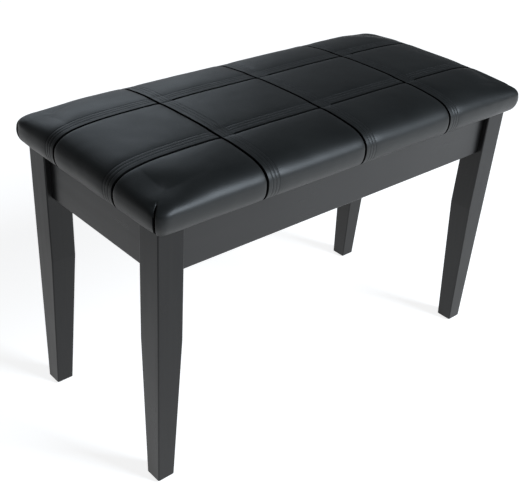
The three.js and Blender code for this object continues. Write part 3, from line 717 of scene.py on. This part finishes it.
def vertex_normals(points, faces):
    corners = np.array(faces)
    diagonal_a = points[corners[:, 2]] - points[corners[:, 0]]
    diagonal_b = points[corners[:, 3]] - points[corners[:, 1]]
    face_normals = np.cross(diagonal_a, diagonal_b)
    normals = np.zeros_like(points)
    for corner in range(4):
        np.add.at(normals, corners[:, corner], face_normals)
    return normals / np.maximum(np.linalg.norm(normals, axis=1, keepdims=True), NOT_ZERO)


def crossings(places):
    """Signed distances to every crease, and which points the seams across and along can reach.

    Down the sides, a seam across the top reaches only the front and back, and
    a seam along it only the two ends.
    """
    on_side = places[:, 2] > 0
    front_or_back = np.abs(np.abs(places[:, 1]) - (HALF_DEPTH - TOP_INSET)) < TINY
    across = [places[:, 0] - crease for crease in CREASES_ACROSS]
    along = [places[:, 1] - crease for crease in CREASES_ALONG]
    across_seen = ~on_side | front_or_back
    along_seen = ~on_side | ~front_or_back
    return across, along, across_seen, along_seen


def smooth_step(value, low, high):
    t = np.clip((value - low) / (high - low), 0, 1)
    return t * t * (3 - 2 * t)


def panel_roll(distance):
    """How the padding falls towards a seam, on its crease side and beyond its band."""
    depth, reach = FALL_BEFORE
    before = depth * np.exp(np.minimum(distance, 0) / reach) * (distance <= 0)
    depth, reach = FALL_BEYOND
    after = depth * np.exp(-np.maximum(distance - BAND_WIDTH, 0) / reach) * (distance > 0)
    return -(before + after)


def crease_groove(distance):
    width = np.where(distance < 0, CREASE_BEFORE, CREASE_AFTER)
    return -CREASE_DEPTH * np.exp(-((np.abs(distance) / width) ** 4))


# Faces in this span get the painted shade of the near-black crease leather
def in_crease(distance):
    return (distance > -CREASE_BEFORE - TINY) & (distance < CREASE_AFTER + CREASE_SHADE)


def band_rows(distance):
    groove = np.zeros_like(distance)
    for row in STITCH_ROWS:
        groove -= ROW_DEPTH * np.exp(-((distance - row) / ROW_WIDTH) ** 2)
    return groove


def in_band(distance):
    return smooth_step(distance, *BAND_START) * (1 - smooth_step(distance, *BAND_END))


def seam_relief(places):
    """Height of the sewn detail over the plain padding, along the surface normal."""
    across, along, across_seen, along_seen = crossings(places)
    fade = 1 - smooth_step(places[:, 2], HEM_START, UNDERSIDE)
    roll_fade = 1 - SIDE_FALL_LOSS * smooth_step(places[:, 2], WIDEST, HEM_START)
    crease_fade = 1 - SIDE_CREASE_LOSS * smooth_step(places[:, 2], WIDEST + 1, HEM_START)
    row_fade = TOP_ROW_SHARE + (1 - TOP_ROW_SHARE) * smooth_step(places[:, 2], 0, 3)
    relief = np.zeros(len(places))
    under_band = np.ones(len(places))
    for distance in across:
        sewn = crease_groove(distance) * crease_fade + band_rows(distance) * row_fade
        fall = panel_roll(distance) * roll_fade + sewn
        relief += across_seen * fall
        under_band *= 1 - across_seen * in_band(distance)
    for distance in along:
        sewn = crease_groove(distance) * crease_fade + band_rows(distance) * row_fade
        fall = panel_roll(distance) * roll_fade + under_band * sewn
        relief += along_seen * fall
    return relief * fade


def pleat_distance(places, half_x, half_y):
    """Signed distance to a corner's pleat, positive towards the front or back.

    It holds down the sides, where a point has a gap to its corner along one side only.
    """
    gap_x = half_x - np.abs(places[:, 0])
    gap_y = half_y - np.abs(places[:, 1])
    return gap_x - gap_y - PLEAT_OFFSET


def corner_pleat(places, half_x, half_y):
    """A folded crevice by each corner: the end's leather is tucked in behind the front's.

    At the back corners the fold starts lower down.
    """
    past = pleat_distance(places, half_x, half_y)
    first = np.where(places[:, 1] < 0, FRONT_PLEAT_TOP, BACK_PLEAT_TOP)
    start = smooth_step(places[:, 2] - first, 0, PLEAT_RUN_IN)
    end = 1 - smooth_step(places[:, 2], UNDERSIDE - 1, UNDERSIDE)
    crevice = -PLEAT_DEPTH * np.exp(-(np.abs(past) / PLEAT_WIDTH) ** 3)
    hollow = -TUCK_DEPTH * np.exp(np.minimum(past, 0) / TUCK_REACH) * (past < 0)
    shallow = 1 - PLEAT_LOSS * smooth_step(places[:, 2], WIDEST, HEM_START)
    return (crevice + hollow) * start * end * shallow


def painted_shade_faces(cover):
    """Which faces lie inside a crease or a pleat, and so get the near-black painted shade."""
    places = cover.places()
    across, along, across_seen, along_seen = crossings(places)
    under_band = np.zeros(len(places), bool)
    inside = np.zeros(len(places), bool)
    for distance in across:
        inside |= across_seen & in_crease(distance)
        under_band |= across_seen & (distance > -CREASE_BEFORE) & (distance < BAND_WIDTH)
    for distance in along:
        inside |= along_seen & in_crease(distance) & ~under_band
    past = pleat_distance(places, cover.half_x, cover.half_y)
    low, high = PLEAT_SHADE
    inside |= (past > low) & (past < high) & (places[:, 2] > PLEAT_SHADE_TOP)
    inside &= places[:, 2] <= UNDERSIDE
    return inside[np.array(cover.faces)].all(axis=1)


def corner_droop(places, half_x, half_y):
    """How far the padding sinks towards the corners, from the top down to its widest part."""
    gap = half_x - np.abs(places[:, 0]) + half_y - np.abs(places[:, 1])
    return CORNER_DROOP * np.exp(-(gap / DROOP_REACH) ** 2) * (1 - smooth_step(places[:, 2], 0, WIDEST))


def unevenness(points):
    """Slow waves of the padding and smaller ripples, the same on every run."""
    return np.array([
        WAVE_DEPTH * noise.noise(Vector(point) * WAVE_SCALE)
        + RIPPLE_DEPTH * noise.noise(Vector(point) * RIPPLE_SCALE)
        for point in points
    ])


def pinned_points(places):
    """Which points a seam or the board holds, so that they don't swell."""
    across, along, across_seen, along_seen = crossings(places)
    held = places[:, 2] >= HEM_START
    for distance in across:
        held |= across_seen & (np.abs(distance) < ON_SEAM)
    for distance in along:
        held |= along_seen & (np.abs(distance) < ON_SEAM)
    return held


def swell(cover):
    """Blows the panels up between their seams as cloth, and gives each point's move."""
    start = cover.points()
    obj = mesh_object("cover_swelling", start, cover.faces)
    held = pinned_points(cover.places())
    group = obj.vertex_groups.new(name="held")
    group.add(np.nonzero(held)[0].tolist(), 1.0, "REPLACE")
    cloth = obj.modifiers.new("cloth", "CLOTH")
    settings = cloth.settings
    settings.quality = 6
    settings.mass = 0.35
    settings.tension_stiffness = 22
    settings.compression_stiffness = 22
    settings.shear_stiffness = 9
    settings.bending_stiffness = 1.2
    settings.vertex_group_mass = "held"
    settings.use_pressure = True
    settings.uniform_pressure_force = PRESSURE
    settings.effector_weights.gravity = 0
    cloth.point_cache.frame_end = CLOTH_FRAMES
    scene = bpy.context.scene
    for step in range(1, CLOTH_FRAMES + 1):
        scene.frame_set(step)
    view = obj.evaluated_get(bpy.context.evaluated_depsgraph_get())
    blown = np.array([vertex.co[:] for vertex in view.data.vertices])
    scene.frame_set(1)
    bpy.data.objects.remove(obj)
    moves = blown - start
    size = np.linalg.norm(moves, axis=1, keepdims=True)
    return moves * (PUFF_LIMIT * np.tanh(size / PUFF_LIMIT) / np.maximum(size, NOT_ZERO))


def smoothed(moves, cover, rounds):
    """Averages a field over neighbouring points, the nearer ones counting more."""
    corners = np.array(cover.faces)
    pairs = np.vstack([corners[:, [0, 1]], corners[:, [1, 2]], corners[:, [2, 3]], corners[:, [3, 0]]])
    points = cover.points()
    gaps = np.linalg.norm(points[pairs[:, 0]] - points[pairs[:, 1]], axis=1)
    shares = (MM / np.maximum(gaps, SHORTEST_GAP))[:, None]
    around = np.zeros((len(moves), 1))
    np.add.at(around, pairs[:, 0], shares)
    own = around * OWN_WEIGHT
    for _ in range(rounds):
        total = moves * own
        np.add.at(total, pairs[:, 0], moves[pairs[:, 1]] * shares)
        moves = total / (own + around)
    return moves


def sewn_points(cover, moves):
    """The cover's final shape: swollen panels, then seams and pleats pressed in."""
    places = cover.places()
    padded = cover.points() + moves
    padded[:, 2] -= corner_droop(places, cover.half_x, cover.half_y)
    normals = vertex_normals(padded, cover.faces)
    relief = seam_relief(places) + corner_pleat(places, cover.half_x, cover.half_y)
    on_show = 1 - smooth_step(places[:, 2], HEM_START, UNDERSIDE)
    relief += unevenness(padded) * on_show
    return padded + normals * relief[:, None]


def make_seat_cover():
    coarse = Cover(COARSE_STEP, 1, fine=False)
    moves = swell(coarse)
    fine = Cover(FINE_STEP, FINE_PROFILE_STEPS, fine=True)
    moves = smoothed(coarse.spread(moves, fine), fine, SMOOTHING_ROUNDS)
    points = sewn_points(fine, moves)
    cover = mesh_object("padded_leather_cover", points, fine.faces)
    cover.data.materials.append(upholstery_leather())
    # The second material paints shade: near-black leather on the faces inside creases and pleats
    cover.data.materials.append(painted_shade_leather())
    cover.data.polygons.foreach_set("material_index", painted_shade_faces(fine).astype(np.int32))
    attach(cover, "lid")
    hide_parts("seat_cover")
    return fine, points


# ---- Stitching ----

def stitch_mesh(starts, ends, normals):
    """Short threads from start to end, whose narrow ends are sunk into the leather."""
    points, faces = [], []
    for start, end, normal in zip(starts, ends, normals):
        along = end - start
        side = np.cross(along, normal)
        side /= max(np.linalg.norm(side), NOT_ZERO)
        base = len(points)
        for share, width, lift in STITCH_SECTIONS:
            centre = start + along * share + normal * (lift * THREAD_RADIUS)
            for corner in range(THREAD_SIDES):
                angle = 2 * math.pi * corner / THREAD_SIDES
                offset = side * math.cos(angle) + normal * math.sin(angle)
                points.append(centre + offset * THREAD_RADIUS * width)
        for section in range(len(STITCH_SECTIONS) - 1):
            low = base + section * THREAD_SIDES
            high = low + THREAD_SIDES
            for corner in range(THREAD_SIDES):
                after = (corner + 1) % THREAD_SIDES
                faces.append((low + corner, low + after, high + after, high + corner))
        faces.append(tuple(base + corner for corner in reversed(range(THREAD_SIDES))))
        last = base + (len(STITCH_SECTIONS) - 1) * THREAD_SIDES
        faces.append(tuple(last + corner for corner in range(THREAD_SIDES)))
    return points, faces


def row_path(cover, points, normals, line, is_across):
    """The sewn surface's points and normals along one lattice line, from hem to hem."""
    count_y = len(cover.ys)
    if is_across:
        index = int(np.argmin(np.abs(cover.xs - line)))
        top = [index * count_y + j for j in range(count_y)]
        ends = ((index, 0), (index, count_y - 1))
    else:
        index = int(np.argmin(np.abs(cover.ys - line)))
        top = [i * count_y + index for i in range(len(cover.xs))]
        ends = ((0, index), (len(cover.xs) - 1, index))
    first, last = (cover.loop.index(end) for end in ends)
    rings = [place for place, param in enumerate(cover.params[1:]) if param < ROWS_END]
    start = len(cover.xs) * count_y
    size = len(cover.loop)
    down = [start + ring * size + first for ring in reversed(rings)]
    up = [start + ring * size + last for ring in rings]
    order = down + top + up
    return points[order], normals[order]


def stitches_along(path, normals):
    """Start, end and normal of each stitch at an even pitch along a path."""
    lengths = np.concatenate([[0], np.cumsum(np.linalg.norm(np.diff(path, axis=0), axis=1))])
    begins = np.arange(STITCH_PITCH / 2, lengths[-1] - STITCH_PITCH, STITCH_PITCH)

    def at(distances, values):
        return np.column_stack([np.interp(distances, lengths, values[:, axis]) for axis in range(3)])

    middle = at(begins + STITCH_LENGTH / 2, normals)
    middle /= np.linalg.norm(middle, axis=1, keepdims=True)
    return at(begins, path), at(begins + STITCH_LENGTH, path), middle


def make_stitching(cover, points):
    normals = vertex_normals(points, cover.faces)
    groups = []
    for row in STITCH_ROWS:
        for crease in CREASES_ACROSS:
            path = row_path(cover, points, normals, crease + row, True)
            groups.append(stitches_along(*path))
        for crease in CREASES_ALONG:
            starts, ends, ups = stitches_along(*row_path(cover, points, normals, crease + row, False))
            clear = np.ones(len(starts), bool)
            for across in CREASES_ACROSS:
                before = starts[:, 0] < across - STITCH_CLEARANCE
                clear &= before | (starts[:, 0] > across + BAND_WIDTH)
            groups.append((starts[clear], ends[clear], ups[clear]))
    starts, ends, ups = (np.vstack([group[part] for group in groups]) for part in range(3))
    thread_points, faces = stitch_mesh(starts, ends, ups)
    thread = mesh_object("seat_stitching", np.array(thread_points), faces)
    thread.data.materials.append(sewing_thread())
    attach(thread, "lid")


# ---- Foam under the leather ----

def make_foam(look):
    """The foam follows the leather from inside and ends flat on the board."""
    form = Cover(FOAM_STEP, 1, fine=False)
    kept = HEM_START - 1
    form.rings = form.rings[:kept]
    form.params = form.params[:kept + 1]
    form.join_faces()
    points = form.points()
    points[:, 2] -= corner_droop(form.places(), form.half_x, form.half_y)
    normals = vertex_normals(points, form.faces)
    points = points - normals * FOAM_GAP
    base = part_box("foam_pad")[0].z
    points[:, 2] = np.maximum(points[:, 2], base)
    count = len(form.loop)
    floor = [tuple(reversed(range(len(points) - count, len(points))))]
    foam = mesh_object("foam_core", points, form.faces + floor)
    foam.data.materials.append(look)
    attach(foam, "lid")
    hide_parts("foam_pad")


make_camera()
make_world()
make_softbox("front_softbox", place=(1.4, -2.8, 2.45), aim=(0, 0, 0.4), size=(1.3, 1.7), power=165)
make_softbox("back_softbox", place=(0.9, 3.0, 1.85), aim=(-0.1, 0, 0.4), size=(2.2, 1.1), power=16)
make_floor()
looks = dress_frame()
cover, cover_points = make_seat_cover()
make_stitching(cover, cover_points)
make_foam(looks["foam"])
